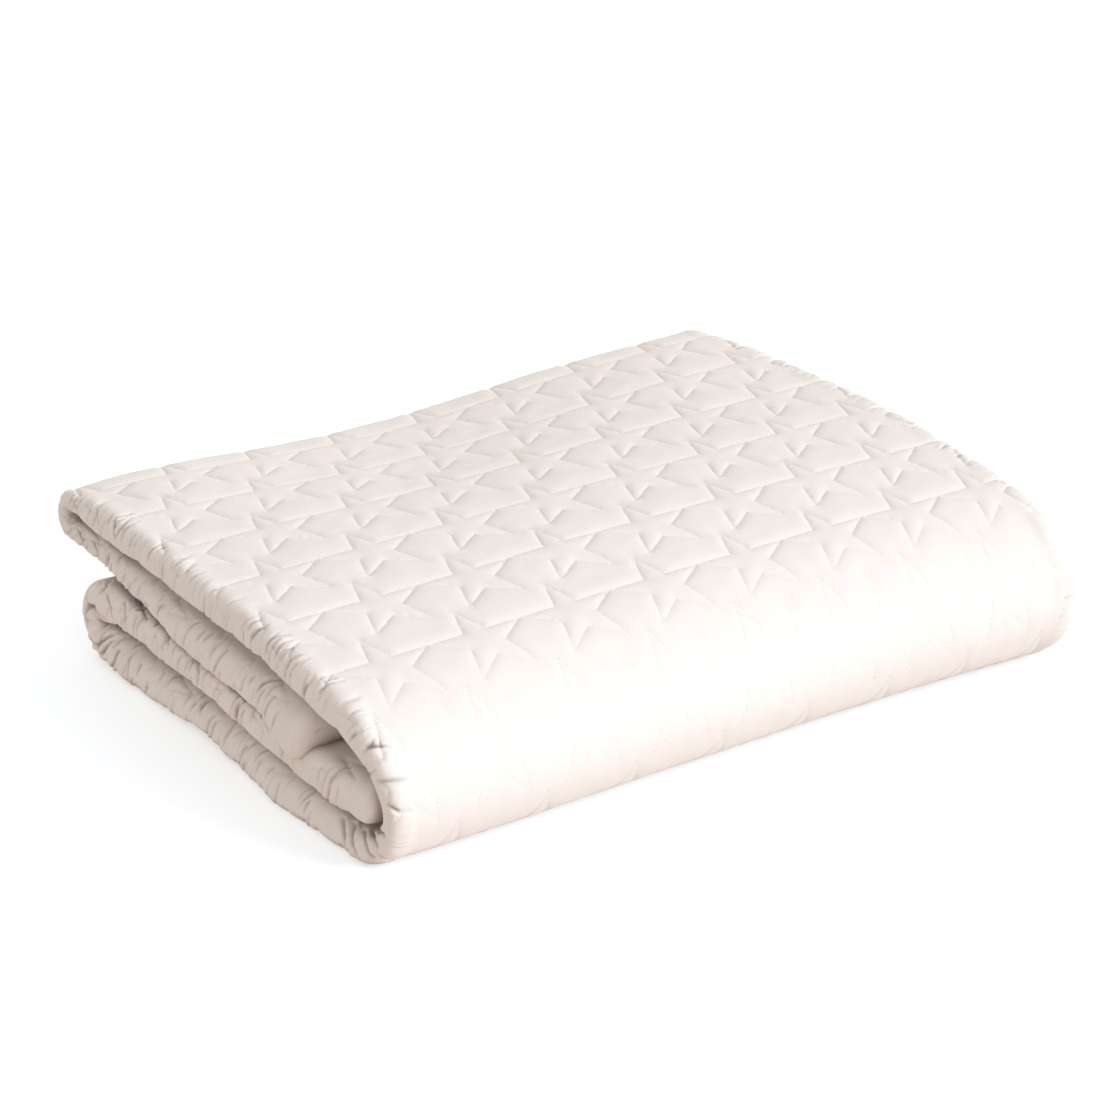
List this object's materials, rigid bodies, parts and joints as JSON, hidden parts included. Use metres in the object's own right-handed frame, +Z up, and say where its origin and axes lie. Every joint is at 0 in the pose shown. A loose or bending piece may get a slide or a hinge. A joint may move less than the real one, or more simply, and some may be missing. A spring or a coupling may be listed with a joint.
{
  "type": "folded comforter",
  "caption": "Filled cotton comforter with star quilting, doubled and folded in layers for a shelf, with one big round fold at the front.",
  "frame": {"origin": "the middle of the folded stack's box in X and Y, on the surface it lies on", "axes": "+X along the big fold, to the right as seen from the front; +Y from the big fold to the back; +Z up through the layers"},
  "size_m": [0.6602, 0.5278, 0.1454],
  "materials": {
    "quilted_cotton": "matt, slightly sheeny cotton with sewn quilting"
  },
  "bodies": {
    "root": {"comforter": "quilted_cotton"}
  },
  "joints": []
}
